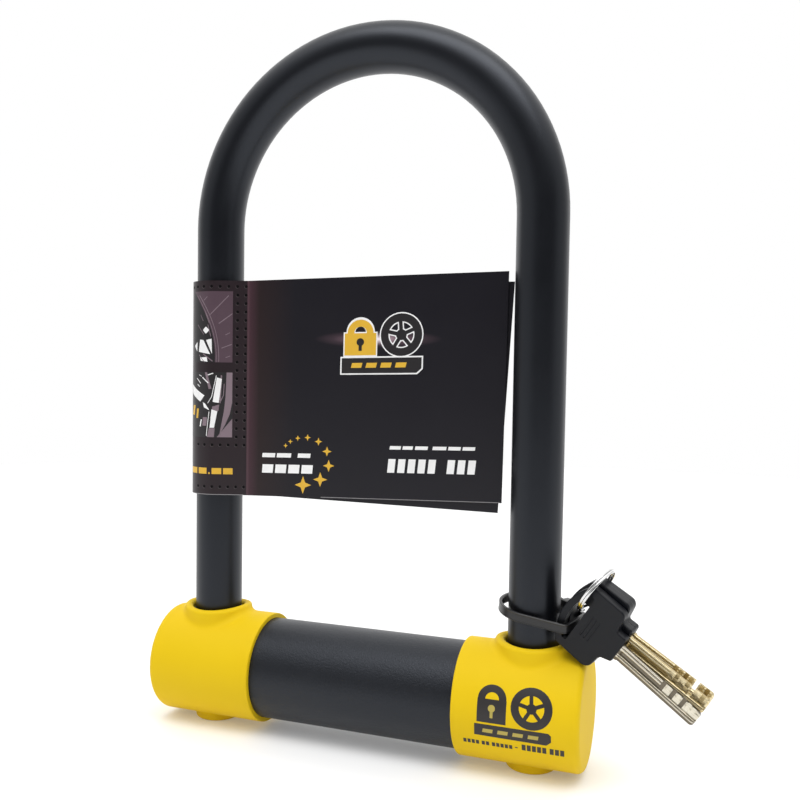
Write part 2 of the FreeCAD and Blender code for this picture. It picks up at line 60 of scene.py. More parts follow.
# --- camera ---------------------------------------------------------------------------
def make_camera():
    """The viewer stands in front, to the right and a little above."""
    yaw, pitch, roll = 0.375, 0.049, 0.014     # radians
    target, distance = Vector((0.00114, 0, 0.10589)), 0.3807
    ahead = Vector((-math.sin(yaw) * math.cos(pitch), math.cos(yaw) * math.cos(pitch),
                    -math.sin(pitch)))
    level = Vector((math.cos(yaw), math.sin(yaw), 0))
    above = level.cross(ahead)
    right = level * math.cos(roll) + above * math.sin(roll)
    up = above * math.cos(roll) - level * math.sin(roll)
    data = bpy.data.cameras.new("camera")
    data.sensor_width = 36
    data.lens = 41.77
    data.shift_x, data.shift_y = 0.036, 0.0323
    data.clip_start, data.clip_end = 0.01, 20
    camera = bpy.data.objects.new("camera", data)
    bpy.context.scene.collection.objects.link(camera)
    turn = Matrix((right, up, -ahead)).transposed().to_4x4()
    camera.matrix_world = Matrix.Translation(target - ahead * distance) @ turn
    bpy.context.scene.camera = camera


# --- node helpers ---------------------------------------------------------------------
def as_colour(colour):
    """A number, an RGB triple or a socket, as what a colour socket takes."""
    if isinstance(colour, (int, float)):
        return (colour, colour, colour, 1)
    if isinstance(colour, tuple) and len(colour) == 3:
        return (*colour, 1)
    return colour


class Shader:
    """A material's node tree, built with short calls."""

    def __init__(self, name):
        self.material = bpy.data.materials.new(name)
        self.material.use_nodes = True
        self.tree = self.material.node_tree
        self.surface = self.tree.nodes["Principled BSDF"]
        self.place = self.tree.nodes.new("ShaderNodeTexCoord").outputs["Object"]

    def put(self, kind, **sockets):
        """A node. Names with _ in front set the node itself, and __ stands for a space."""
        node = self.tree.nodes.new("ShaderNode" + kind)
        for key, value in sockets.items():
            if key.startswith("_"):
                setattr(node, key[1:], value)
            else:
                self.feed(node.inputs[key.replace("__", " ")], value)
        return node

    def feed(self, socket, value):
        if isinstance(value, bpy.types.NodeSocket):
            self.tree.links.new(value, socket)
        else:
            socket.default_value = value

    def set(self, **sockets):
        for key, value in sockets.items():
            self.feed(self.surface.inputs[key.replace("__", " ")], value)

    def noise(self, scale, detail=3.0, roughness=0.55, at=None):
        node = self.put("TexNoise", Vector=at or self.place, Scale=scale, Detail=detail,
                        Roughness=roughness)
        return node.outputs["Fac"]

    def ramp(self, value, *stops):
        node = self.put("ValToRGB", Fac=value)
        while len(node.color_ramp.elements) < len(stops):
            node.color_ramp.elements.new(0.5)
        for element, (position, colour) in zip(node.color_ramp.elements, stops):
            element.position = position
            element.color = as_colour(colour)
        return node.outputs["Color"]

    def span(self, value, low, high):
        """value from 0..1 spread over low..high."""
        node = self.put("MapRange", Value=value)
        node.inputs["To Min"].default_value = low
        node.inputs["To Max"].default_value = high
        return node.outputs["Result"]

    def mix(self, factor, a, b):
        """Colours a and b, which are inputs 6 and 7 of a node that mixes colours."""
        node = self.put("Mix", _data_type="RGBA")
        self.feed(node.inputs[0], factor)
        self.feed(node.inputs[6], as_colour(a))
        self.feed(node.inputs[7], as_colour(b))
        return node.outputs[2]

    def fit(self, value, low, high):
        """value from low..high spread over 0..1, and held there outside it."""
        node = self.put("MapRange", Value=value)
        node.inputs["From Min"].default_value = low
        node.inputs["From Max"].default_value = high
        return node.outputs["Result"]

    def vector(self, kind, a, b):
        node = self.put("VectorMath", _operation=kind)
        self.feed(node.inputs[0], a)
        self.feed(node.inputs[1], b)
        return node

    def bump(self, height, strength, distance):
        node = self.put("Bump", Height=height, Strength=strength, Distance=distance)
        return node.outputs["Normal"]


COOL = (0.82, 0.88, 1, 1)      # tint of the shine on the dark coats


def vinyl():
    m = Shader("vinyl_coat")
    cloud, fine = m.noise(60), m.noise(2600, 2)
    m.set(Base__Color=m.mix(cloud, (0.0022, 0.0024, 0.0036), (0.0042, 0.0046, 0.0062)),
          Roughness=m.span(cloud, 0.33, 0.39), Specular__IOR__Level=0.46,
          Specular__Tint=COOL,
          Normal=m.bump(fine, 0.08, 0.00005))
    return m.material


def powder():
    m = Shader("powder_coat")
    cloud, grain = m.noise(45), m.noise(1250, 3, 0.75)
    m.set(Base__Color=m.mix(cloud, (0.0028, 0.0032, 0.0045), (0.006, 0.0065, 0.0083)),
          Roughness=m.span(grain, 0.33, 0.46), Specular__IOR__Level=0.47,
          Specular__Tint=COOL,
          Normal=m.bump(grain, 0.8, 0.00022))
    return m.material


def cap_plastic():
    m = Shader("cap_plastic")
    cloud, fine = m.noise(35), m.noise(1500, 3)
    m.set(Base__Color=m.mix(cloud, (0.735, 0.493, 0.004), (0.78, 0.54, 0.008)),
          Roughness=m.span(cloud, 0.56, 0.64), Specular__IOR__Level=0.15,
          Normal=m.bump(fine, 0.06, 0.00005))
    return m.material


def metal(name, colour, roughness):
    m = Shader(name)
    cloud, fine = m.noise(120), m.noise(900, 4, 0.6)
    darker = tuple(c * 0.8 for c in colour)
    m.set(Base__Color=m.mix(cloud, darker, colour), Metallic=1.0,
          Roughness=m.span(fine, roughness * 0.8, roughness * 1.25),
          Normal=m.bump(fine, 0.1, 0.00004))
    return m.material


def milled_metal(name, colour, axis):
    """Metal with fine streaks along axis."""
    m = Shader(name)
    flattened = 0.97      # the rest, 3 %, is how fast the noise runs along axis
    run = m.vector("DOT_PRODUCT", m.place, axis * flattened).outputs["Value"]
    back = m.put("CombineXYZ", X=run, Y=run, Z=run).outputs["Vector"]
    back = m.vector("MULTIPLY", back, axis).outputs["Vector"]
    streaky = m.vector("SUBTRACT", m.place, back).outputs["Vector"]
    streak, cloud = m.noise(5200, 2, at=streaky), m.noise(260)
    darker = tuple(c * 0.72 for c in colour)
    m.set(Base__Color=m.mix(cloud, darker, colour), Metallic=1.0,
          Roughness=m.span(streak, 0.2, 0.36), Normal=m.bump(streak, 0.12, 0.00003))
    return m.material


def plain_plastic(name, colour, roughness, shine=0.5):
    m = Shader(name)
    cloud, fine = m.noise(80), m.noise(2200, 3)
    m.set(Base__Color=m.mix(cloud, tuple(c * 0.8 for c in colour), colour),
          Roughness=m.span(cloud, roughness * 0.9, roughness * 1.15),
          Specular__IOR__Level=shine, Normal=m.bump(fine, 0.15, 0.00005))
    return m.material


def paper_edge():
    m = Shader("paper_edge")
    fibre = m.noise(1800, 4, 0.7)
    m.set(Base__Color=m.mix(fibre, 0.42, 0.62), Roughness=0.85,
          Normal=m.bump(fibre, 0.3, 0.00005))
    return m.material


def card_print(name, flare):
    """Near-black print: plum beside the fold, a painted highlight along the crease, and maybe a
    pale flare behind the emblem.
    """
    m = Shader(name)
    along = Vector((math.cos(CARD_YAW), math.sin(CARD_YAW), 0))
    away = m.vector("SUBTRACT", m.place, CREASE * MM).outputs["Vector"]
    run = m.vector("DOT_PRODUCT", away, along * 1000).outputs["Value"]
    # edge, just past the crease, is a painted highlight on the fold; wrap, plum, fading and night
    # are print
    wrap, edge, plum = (0.017, 0.010, 0.013), (0.078, 0.039, 0.049), (0.046, 0.019, 0.027)
    fading, night = (0.016, 0.008, 0.009), (0.0058, 0.0050, 0.0090)
    plain = m.ramp(m.fit(run, -1.0, 31.0), (0.0, wrap), (0.024, wrap), (0.034, edge),
                   (0.07, plum), (0.2, fading), (0.7, night))
    centre = (CREASE + leaf_point(FRONT_LEAF, -1, 0.52, 0.72, 0)) * MM
    near = m.vector("SUBTRACT", m.place, centre).outputs["Vector"]
    glows = (((27.0, 3.6), (0.34, 0.2, 0.25)), ((9.0, 2.6), (0.95, 0.85, 0.9)))
    for (wide, high), colour in glows if flare else ():
        scaled = m.vector("MULTIPLY", near, (1000 / wide, 0, 1000 / high)).outputs["Vector"]
        length = m.put("VectorMath", _operation="LENGTH", Vector=scaled).outputs["Value"]
        glow = m.ramp(length, (0.0, 1.0), (0.35, 0.42), (0.7, 0.1), (1.0, 0.0))
        plain = m.mix(glow, plain, colour)
    fine = m.noise(2400, 3)
    m.set(Base__Color=plain, Roughness=m.span(m.noise(40), 0.34, 0.42), Specular__IOR__Level=0.34,
          Normal=m.bump(fine, 0.06, 0.00004))
    return m.material


MATERIALS = {
    "coat": vinyl(),
    "powder_coat": powder(),
    "cap_plastic": cap_plastic(),
    "hard_steel": metal("hard_steel", (0.5, 0.5, 0.52), 0.32),
    "zinc": metal("zinc", (0.55, 0.56, 0.58), 0.45),
    "cylinder_brass": metal("cylinder_brass", (0.72, 0.55, 0.27), 0.3),
    "bright_steel": metal("bright_steel", (0.66, 0.66, 0.68), 0.22),
    "bezel_plastic": plain_plastic("bezel_plastic", (0.02, 0.02, 0.022), 0.5),
    "seal_rubber": plain_plastic("seal_rubber", (0.018, 0.018, 0.018), 0.6),
    "card": plain_plastic("card", (0.02, 0.018, 0.02), 0.4),
    "key_plastic": plain_plastic("key_plastic", (0.0048, 0.0056, 0.0085), 0.38, 0.26),
    "key_metal": metal("key_metal", (0.66, 0.6, 0.45), 0.22),
    "ring_wire": metal("ring_wire", (0.8, 0.8, 0.8), 0.15),
    "tie_nylon": plain_plastic("tie_nylon", (0.010, 0.010, 0.011), 0.33),
}
INKS = {
    "white": plain_plastic("ink_white", (0.93, 0.93, 0.93), 0.4),
    "amber": plain_plastic("ink_amber", (0.78, 0.46, 0.035), 0.4),
    "dark": plain_plastic("ink_dark", (0.012, 0.010, 0.012), 0.4),
    "dot": plain_plastic("ink_dot", (0.0015, 0.001, 0.0015), 0.5, 0.12),
    "rim": plain_plastic("ink_rim", (0.06, 0.048, 0.052), 0.4),
    "lilac": plain_plastic("ink_lilac", (0.23, 0.17, 0.2), 0.4),
    "plum": plain_plastic("ink_plum", (0.085, 0.05, 0.068), 0.4),
    "cap": plain_plastic("ink_cap", (0.022, 0.018, 0.018), 0.5),
    "paper": plain_plastic("ink_paper", (0.3, 0.29, 0.3), 0.8),
    "gap": plain_plastic("ink_gap", (0.5, 0.4, 0.08), 0.5),
}
for part in frame["record"]["subparts"]:
    node = nodes[part["node"]]
    node.data.materials.clear()
    node.data.materials.append(MATERIALS[part["material_slot"]])


# --- mesh helpers ---------------------------------------------------------------------
def piece(name, points, faces, materials, body, slot, picks=None, sharp=35, replaces=None):
    """A closed piece from points in metres. picks gives each face's place in materials.
    Edges that turn more than sharp degrees stay sharp."""
    mesh = bpy.data.meshes.new(name)
    mesh.from_pydata(points, [], faces)
    for material in materials:
        mesh.materials.append(material)
    if picks:
        mesh.polygons.foreach_set("material_index", picks)
    mesh.update()
    shape = bmesh.new()
    shape.from_mesh(mesh)
    bmesh.ops.recalc_face_normals(shape, faces=shape.faces)
    shape.to_mesh(mesh)
    shape.free()
    mesh.polygons.foreach_set("use_smooth", [True] * len(mesh.polygons))
    mesh.set_sharp_from_angle(angle=math.radians(sharp))
    made = bpy.data.objects.new(name, mesh)
    bpy.context.scene.collection.objects.link(made)
    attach(made, body)
    if replaces:
        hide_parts(replaces)


def sweep(rings, closed):
    """Faces that join rings of equal length. An open sweep gets an end face at each end."""
    count, size = len(rings), len(rings[0])
    faces = []
    for i in range(count if closed else count - 1):
        here, there = i * size, (i + 1) % count * size
        for j in range(size):
            k = (j + 1) % size
            faces.append((here + j, here + k, there + k, there + j))
    if not closed:
        last = (count - 1) * size
        faces += [tuple(reversed(range(size))), tuple(range(last, last + size))]
    return [point for ring in rings for point in ring], faces


def spread(low, high, steps):
    """Numbers from low to high in equal steps."""
    return [low + (high - low) * k / steps for k in range(steps + 1)]


# --- flat shapes for prints, in millimetres -------------------------------------------
def bar(x0, x1, y0, y1, slant=0.0):
    """A four-sided bar whose upper edge is moved right by slant."""
    return [(x0, y0), (x1, y0), (x1 + slant, y1), (x0 + slant, y1)]


def star(x, y, reach, waist=0.38):
    """Four points, with the corners between them at waist of its reach."""
    radii, turns = (reach, reach * waist) * 4, [k * math.pi / 4 for k in range(8)]
    return [(x + r * math.cos(a), y + r * math.sin(a)) for r, a in zip(radii, turns)]


def disc(x, y, radius, sides=20):
    return [(x + radius * math.cos(2 * math.pi * k / sides),
             y + radius * math.sin(2 * math.pi * k / sides)) for k in range(sides)]


def band(x, y, radius, half, start=0, end=360, steps=32):
    """A curved stroke, as a row of small four-sided cells."""
    turns = [math.radians(a) for a in spread(start, end, steps)]
    edge = [[(x + r * math.cos(a), y + r * math.sin(a)) for a in turns]
            for r in (radius - half, radius + half)]
    return [[edge[0][k], edge[1][k], edge[1][k + 1], edge[0][k + 1]] for k in range(steps)]


def padlock(x, low, top, half, bow, thick):
    """A padlock's body and bow, as cells that share their corners."""
    places = [x - half, x - bow - thick, x - bow + thick,
              x + bow - thick, x + bow + thick, x + half]
    return ([bar(left, right, low, top) for left, right in zip(places, places[1:])]
            + band(x, top, bow, thick, 0, 180))


def spokes(x, y, radius, half):
    """Five strokes from the middle of a wheel."""
    return [stroke(x, y, x + radius * math.cos(a), y + radius * math.sin(a), half)
            for a in spread(0.4, 0.4 + 1.6 * math.pi, 4)]


def stroke(x0, y0, x1, y1, half):
    away = Vector((y0 - y1, x1 - x0)).normalized() * half
    return [(x0 - away.x, y0 - away.y), (x1 - away.x, y1 - away.y),
            (x1 + away.x, y1 + away.y), (x0 + away.x, y0 + away.y)]


INK_CELL = 1.2       # prints are cut into cells of this size, so that they bend with the surface
INK_STEP = 0.022     # height of one layer of ink
SAME_PLACE = 1e-4    # corners nearer than this are one
ON_CUT = 1e-5        # corners nearer than this to a cut lie on it


def ink(name, shapes, surface, layer, material, body, slot):
    """Printed shapes as thin closed slabs that follow surface(x, y, height)."""
    flat = bmesh.new()
    for shape in shapes:
        area = sum(ax * by - bx * ay for (ax, ay), (bx, by) in zip(shape, shape[1:] + shape[:1]))
        corners = shape if area > 0 else shape[::-1]
        flat.faces.new([flat.verts.new((x, y, 0)) for x, y in corners])
    bmesh.ops.remove_doubles(flat, verts=flat.verts[:], dist=SAME_PLACE)
    for axis in (0, 1):
        values = [v.co[axis] for v in flat.verts]
        normal = Vector((axis == 0, axis == 1, 0))
        for k in range(math.ceil(min(values) / INK_CELL), math.ceil(max(values) / INK_CELL)):
            everything = flat.verts[:] + flat.edges[:] + flat.faces[:]
            bmesh.ops.bisect_plane(flat, geom=everything, dist=ON_CUT,
                                   plane_co=normal * (k * INK_CELL), plane_no=normal)
    flat.verts.index_update()
    count, top = len(flat.verts), INK_STEP * layer
    points = [surface(v.co.x, v.co.y, top) for v in flat.verts]
    points += [surface(v.co.x, v.co.y, -INK_STEP) for v in flat.verts]
    faces = [[v.index for v in face.verts] for face in flat.faces]
    faces += [[i + count for i in reversed(face)] for face in faces]
    for edge in flat.edges:
        if len(edge.link_loops) == 1:
            a = edge.link_loops[0].vert.index
            b = edge.link_loops[0].link_loop_next.vert.index
            faces.append([b, a, a + count, b + count])
    flat.free()
    piece(name, points, faces, [material], body, slot)


# --- card sleeve ----------------------------------------------------------------------
CREASE = Vector((-53.3, -5.6, 120.25))  # middle of the line where the leaves meet the wrap
CARD_YAW = math.radians(5.3)
CARD_HALF_HEIGHT = 45.5
CARD_HALF_THICK = 0.2
CREASE_R, WRAP_R = 0.45, 11.6           # radii of the bends at the crease and round the leg
LEG_AT = Vector((-16.7, 5.6))           # the leg's axis, from the crease
# corners of the leaves, along them and up from the crease: low and high at the crease,
# low and high at the free end
FRONT_LEAF = ((-0.4, -45.5), (0.3, 45.5), (109.0, -43.4), (110.1, 47.5))
BACK_LEAF = ((-0.4, -45.0), (0.2, 45.2), (107.4, -47.5), (112.3, 43.5))
FRONT_LONG, BACK_LONG = 109.5, 110.0    # mean lengths of the leaves, which the prints go by
LEAF_STEPS = 14
FOLD_STEP = 0.8                         # from the crease to the wrap's first station
PRINT_FACE, EDGE_FACE, FLARE_FACE = 0, 1, 2


def toward(angle):
    return Vector((math.cos(angle), math.sin(angle)))


LEG_TURN = math.atan2(LEG_AT.y, LEG_AT.x)
LEG_SPREAD = math.acos((CREASE_R - WRAP_R) / LEG_AT.length)
FRONT_TURN = LEG_TURN + LEG_SPREAD - 2 * math.pi     # where the wrap leaves the leg, in front
BACK_TURN = LEG_TURN - LEG_SPREAD - 2 * math.pi
FLAT = math.sqrt(LEG_AT.length_squared - (WRAP_R - CREASE_R) ** 2)


def leaf_point(corners, side, along, up, lift):
    """A place on a leaf, along and up from 0 to 1. side is -1 in front and 1 at the back."""
    (x0, z0), (x1, z1), (x2, z2), (x3, z3) = corners
    near_x, near_z = x0 + (x1 - x0) * up, z0 + (z1 - z0) * up
    far_x, far_z = x2 + (x3 - x2) * up, z2 + (z3 - z2) * up
    flat = toward(CARD_YAW) * (near_x + (far_x - near_x) * along)
    flat += toward(CARD_YAW + side * math.pi / 2) * (CREASE_R + lift)
    return Vector((flat.x, flat.y, near_z + (far_z - near_z) * along))


def wrap_point(run, up, lift):
    """A place on the wrap: run goes from the front crease round the leg to the back one."""
    z = CARD_HALF_HEIGHT * (2 * up - 1)
    arc = (FRONT_TURN - BACK_TURN) * WRAP_R
    if FLAT <= run <= FLAT + arc:
        flat = LEG_AT + toward(FRONT_TURN - (run - FLAT) / WRAP_R) * (WRAP_R + lift)
        return Vector((flat.x, flat.y, z))
    front = run < FLAT
    share = run / FLAT if front else (2 * FLAT + arc - run) / FLAT
    out = toward(FRONT_TURN if front else BACK_TURN)
    corners, side = (FRONT_LEAF, -1) if front else (BACK_LEAF, 1)
    leaf_out = toward(CARD_YAW + side * math.pi / 2)
    fold = (out + leaf_out) / (1 + out.dot(leaf_out)) * (CREASE_R + lift)
    (x0, z0), (x1, z1) = corners[:2]
    fold += toward(CARD_YAW) * (x0 + (x1 - x0) * up)
    flat = fold * (1 - share) + (LEG_AT + out * (WRAP_R + lift)) * share
    return Vector((flat.x, flat.y, (z0 + (z1 - z0) * up) * (1 - share) + z * share))


def card_stations():
    """Functions of (up, lift), from the free end of the front leaf, round the leg, to the free
    end of the back leaf."""
    total = 2 * FLAT + (FRONT_TURN - BACK_TURN) * WRAP_R
    runs = [0.0] + spread(FOLD_STEP, FLAT, 6) + spread(FLAT, total - FLAT, 48)[1:]
    runs += spread(total - FLAT, total - FOLD_STEP, 6)[1:] + [total]
    leaf = spread(0.0, 1.0, LEAF_STEPS)[1:]
    # shares of the leaves' length, with two stations close to the crease
    front, back = leaf[::-1] + [0.012, 0.003], [0.006, 0.012] + leaf
    stations = [lambda up, lift, s=s: leaf_point(FRONT_LEAF, -1, s, up, lift) for s in front]
    stations += [lambda up, lift, r=r: wrap_point(r, up, lift) for r in runs]
    stations += [lambda up, lift, s=s: leaf_point(BACK_LEAF, 1, s, up, lift) for s in back]
    return stations


def make_card():
    """One closed sheet. Its lower cut shows bare paper, and its front leaf has the flare."""
    rows = 12
    half, ups = CARD_HALF_THICK, spread(0.0, 1.0, rows)
    rings = []
    for station in card_stations():
        outer = [station(up, half) for up in ups]
        inner = [station(up, -half) for up in reversed(ups)]
        rings.append([(CREASE + p) * MM for p in outer + inner])
    points, faces = sweep(rings, closed=False)
    across = 2 * (rows + 1)
    picks = []
    for index in range(len(faces) - 2):
        ring, place = divmod(index, across)
        if place == across - 1:
            picks.append(EDGE_FACE)
        elif ring < LEAF_STEPS and place < rows:
            picks.append(FLARE_FACE)
        else:
            picks.append(PRINT_FACE)
    materials = [card_print("card_print", False), paper_edge(),
                 card_print("card_print_flare", True)]
    piece("card_leaflet", points, faces, materials, "card", "card", picks + [PRINT_FACE] * 2,
          sharp=12, replaces="card_sleeve")


def on_card(x, y, height):
    """x from the front crease to the right, y up from its middle."""
    up = y / (2 * CARD_HALF_HEIGHT) + 0.5
    lift = CARD_HALF_THICK + height
    if x > 0:
        return (CREASE + leaf_point(FRONT_LEAF, -1, x / FRONT_LONG, up, lift)) * MM
    return (CREASE + wrap_point(-x, up, lift)) * MM


def on_back_leaf(x, y, height):
    """x from the free end to the right, as seen from behind."""
    up = y / (2 * CARD_HALF_HEIGHT) + 0.5
    lift = CARD_HALF_THICK + height
    return (CREASE + leaf_point(BACK_LEAF, 1, 1 - x / BACK_LONG, up, lift)) * MM


def card_ink(name, shapes, layer, colour):
    """Print on the wrap and the front leaf."""
    ink(name, shapes, on_card, layer, INKS[colour], "card", "card")


def print_dots():
    """Dotted border on the wrap, each dot with a lighter rim below."""
    spots = [(x, 43.0) for x in spread(-26.5, -1.0, 7)]
    spots += [(x, y) for x in (-4.5, -1.0) for y in spread(-20.6, 39.4, 17)]
    spots += [(x, y) for x in spread(-22.0, -1.0, 6) for y in (-24.1, -42.0)]
    card_ink("card_dot_rims", [disc(x - 0.12, y - 0.16, 0.68, 12) for x, y in spots], 1, "rim")
    card_ink("card_dots", [disc(x, y, 0.62, 12) for x, y in spots], 2, "dot")


def print_upper_picture():
    """A wheel seen close up: tyre, its grooves, and gaps between the spokes."""
    left, low, high = -25.0, 11.0, 40.4
    card_ink("picture_1_plum", [bar(left, -6.5, low, 41.0)], 1, "plum")
    hub_x, hub_y, tyre = -54.5, 13.0, 40.6
    rim = [(hub_x + math.sqrt(tyre ** 2 - (y - hub_y) ** 2), y) for y in spread(low, high, 14)]
    card_ink("picture_1_dark", [[(left, y0), (x0, y0), (x1, y1), (left, y1)]
                                for (x0, y0), (x1, y1) in zip(rim, rim[1:])], 2, "dark")
    grooves = [stroke(-16.0, 31.2, -8.3, 39.2, 0.16), stroke(-12.4, 27.4, -6.7, 31.6, 0.16),
               stroke(-11.2, 17.0, -6.8, 18.7, 0.16), stroke(-9.6, 22.6, -7.6, 23.6, 0.12),
               stroke(-9.4, 13.0, -7.4, 13.8, 0.12), stroke(-19.0, 37.2, -17.4, 38.8, 0.12),
               stroke(-18.4, 32.7, -16.5, 27.5, 0.12), stroke(-17.1, 27.0, -15.8, 21.9, 0.14),
               stroke(-20.7, 31.0, -19.4, 28.5, 0.1), stroke(-19.4, 14.6, -15.0, 11.5, 0.2),
               stroke(-22.6, 27.0, -19.0, 22.8, 0.1), stroke(-21.6, 14.1, -19.0, 11.4, 0.14)]
    grooves += band(hub_x, hub_y, tyre + 1.6, 0.13, -2.4, 38.5)
    grooves += band(hub_x, hub_y, tyre + 0.5, 0.10, -2.6, 40.0)
    card_ink("picture_1_lines", grooves, 3, "lilac")
    card_ink("picture_1_gaps", [
        [(-21.8, 15.4), (-16.0, 14.4), (-19.2, 20.4), (-21.1, 20.6)],
        [(-15.2, 14.6), (-15.4, 21.0), (-17.9, 20.4)],
        [(-24.9, 17.9), (-23.0, 15.6), (-22.8, 19.6)],
        star(-18.0, 24.6, 1.5, 0.75),
        [(-20.6, 11.6), (-17.2, 11.2), (-17.6, 13.2), (-21.0, 13.0)],
    ], 3, "white")


def print_lower_picture():
    """Fork legs and a brake, in strips."""
    card_ink("picture_2_dark", [bar(-29.0, -6.2, -20.9, 6.8)], 1, "dark")
    card_ink("picture_2_lilac", [
        [(-8.9, 6.7), (-9.3, -4.0), (-6.4, -6.0), (-6.4, 6.7)],
        [(-9.3, -4.0), (-10.0, -10.0), (-7.4, -11.0), (-6.4, -6.0)],
        [(-10.0, -10.0), (-11.9, -19.9), (-9.4, -15.5), (-7.4, -11.0)],
        [(-13.0, -20.8), (-6.3, -20.8), (-6.3, -12.9)],
        [(-17.3, -20.8), (-14.2, -20.8), (-13.9, -17.0), (-16.4, -17.0)],
        [(-15.0, -7.8), (-12.0, -6.9), (-12.3, -9.6), (-15.2, -9.9)],
        [(-18.4, 6.7), (-17.4, 6.7), (-15.4, -0.2), (-16.6, -0.4)],
        [(-11.4, 5.6), (-10.8, 5.4), (-11.4, -6.4), (-12.0, -6.2)],
        bar(-19.6, -17.6, -16.0, -12.4, 0.3),
        stroke(-9.9, 1.9, -10.2, -3.0, 0.16), stroke(-10.2, -3.0, -11.7, -6.1, 0.16),
    ], 2, "lilac")
    card_ink("picture_2_white", [
        [(-14.8, -5.8), (-12.2, -6.2), (-10.9, 4.0), (-13.1, 4.6)],
        [(-16.1, -16.8), (-14.2, -16.8), (-12.8, -9.8), (-15.3, -9.0)],
        [(-27.6, 1.6), (-24.0, -0.2), (-18.6, -3.1), (-20.8, -5.8), (-27.4, -2.2)],
        [(-19.4, -6.0), (-18.2, -6.6), (-16.2, -9.4), (-18.8, -8.2)],
        stroke(-19.6, 4.6, -16.8, 2.2, 0.22), stroke(-23.0, 4.2, -20.6, 2.0, 0.16),
        stroke(-17.0, 5.6, -14.6, 6.4, 0.2), stroke(-20.8, -16.4, -20.2, -13.4, 0.3),
        stroke(-13.3, 5.4, -15.3, -3.7, 0.13), stroke(-15.3, -3.7, -17.0, -6.4, 0.13),
        stroke(-16.4, -10.0, -17.6, -20.4, 0.13), stroke(-21.4, 5.6, -20.2, 5.0, 0.13),
        stroke(-22.6, 1.6, -21.2, 0.6, 0.15),
    ], 3, "white")
    card_ink("picture_2_amber", [bar(-27.0, -25.0, -11.6, -7.4, 0.8),
                                 bar(-23.4, -22.2, -12.9, -8.8, 0.5)], 3, "amber")


def print_strokes():
    """Plain strokes where the words would be."""
    low, high = -36.6, -34.0
    dashes = [bar(x, x + wide, low, high) for x, wide in ((-27.6, 5.0), (-21.6, 4.2))]
    dashes.append(bar(-16.6, -15.9, low, -35.9))
    dashes += [bar(x, x + 4.2, low, high) for x in (-15.1, -10.1)]
    card_ink("card_amber_line", dashes, 1, "amber")
    lines = [bar(x, x + wide, -29.0, -27.2, 0.2)
             for x, wide in ((7.4, 5.8), (14.0, 6.4), (23.4, 5.6))]
    lines += [bar(x, x + 4.9, -35.6, -32.0, 0.3) for x in (7.4, 13.3, 19.2, 25.1)]
    lines += [bar(x, x + wide, -24.9, -23.5, 0.25)
              for x, wide in ((63.2, 4.6), (68.6, 4.2), (73.8, 5.2), (81.0, 5.6), (87.4, 5.0),
                              (93.2, 5.0))]
    lines += [bar(x, x + 3.0, -34.4, -28.8, 0.5)
              for x in spread(62.4, 79.2, 4) + spread(87.0, 95.4, 2)]
    card_ink("card_white_lines", lines, 1, "white")


def print_sparks():
    """Amber sparks along an arc, growing clockwise."""
    sparks = []
    for k in range(9):
        turn = math.radians(140 - 13 * k - 2 * k * k)
        x, y = 26.4 + 11 * math.cos(turn), -30.4 + 10 * math.sin(turn)
        sparks.append(star(x, y, 1 + 0.042 * k * k))
    card_ink("card_sparks", sparks, 2, "amber")


def print_emblem():
    """A padlock and a wheel over a plate, each dark or amber with a white edge."""
    lock_x, wheel, wheel_r = 49.8, (67.0, 21.6), 7.0
    plate = [(42.0, 6.2), (73.6, 6.2), (75.6, 8.0), (75.6, 12.4), (42.0, 12.4)]
    outline = [(41.4, 5.6), (73.9, 5.6), (76.2, 7.7), (76.2, 13.0), (41.4, 13.0)]
    card_ink("emblem_base", [outline] + spokes(*wheel, wheel_r, 1.25), 1, "white")
    card_ink("emblem_white", padlock(lock_x, 13.0, 23.0, 7.2, 4.1, 1.9)
             + band(*wheel, wheel_r, 2.1) + [disc(*wheel, 2.7)], 2, "white")
    card_ink("emblem_spokes", spokes(*wheel, wheel_r, 0.75), 3, "dark")
    card_ink("emblem_dark", [plate, disc(*wheel, 2.2)] + band(*wheel, wheel_r, 1.6), 4, "dark")
    card_ink("emblem_amber", padlock(lock_x, 13.5, 22.5, 6.7, 4.1, 1.4)
             + [bar(x, x + 4.4, 8.4, 10.4, 0.5) for x in spread(46.0, 64.6, 3)], 5, "amber")
    card_ink("emblem_keyhole", [disc(lock_x, 18.9, 1.6),
                                bar(lock_x - 0.7, lock_x + 0.7, 15.3, 17.5)], 6, "dark")


def print_cut_edge():
    """Bare paper along the lower cut."""
    low, high = -45.45, -45.2
    card_ink("card_cut_edge", [bar(-26.0, -1.0, low, high), bar(34.0, 108.6, low, high)],
             1, "paper")


def print_back_leaf():
    """A heading, three marked rows of lines and a row of boxes."""
    mark_x, levels = 14.0, (19.0, 4.0, -11.0)
    box_low, box_high = -34.0, -30.0
    amber = [bar(9.0, 62.0, 31.0, 34.6)]
    amber += [bar(x, x + 5.0, box_low, box_high) for x in spread(9.0, 37.0, 4)]
    amber += [disc(mark_x, y, 1.9) for y in levels]
    ink("back_amber", amber, on_back_leaf, 1, INKS["amber"], "card", "card")
    white = [bar(44.0, 49.0, box_low, box_high), bar(66.0, 96.0, box_low, -32.6),
             bar(66.0, 90.0, -31.2, box_high)]
    for y in levels:
        white += band(mark_x, y, 4.2, 0.5)
        white += [bar(23.0, right, y + up, y + up + 1.3)
                  for right, up in ((84.0, 1.6), (76.0, -1.2), (60.0, -4.0))]
    ink("back_white", white, on_back_leaf, 1, INKS["white"], "card", "card")


# --- cap print ------------------------------------------------------------------------
CAP_R = 23.0


def on_cap(x, y, height):
    """x along the crossbar, y up round the cap from its front."""
    turn, reach = y / CAP_R, CAP_R + height
    return Vector((x, -reach * math.cos(turn), reach * math.sin(turn))) * MM


def cap_ink(name, shapes, layer, colour):
    ink(name, shapes, on_cap, layer, INKS[colour], "crossbar", "cap_plastic")


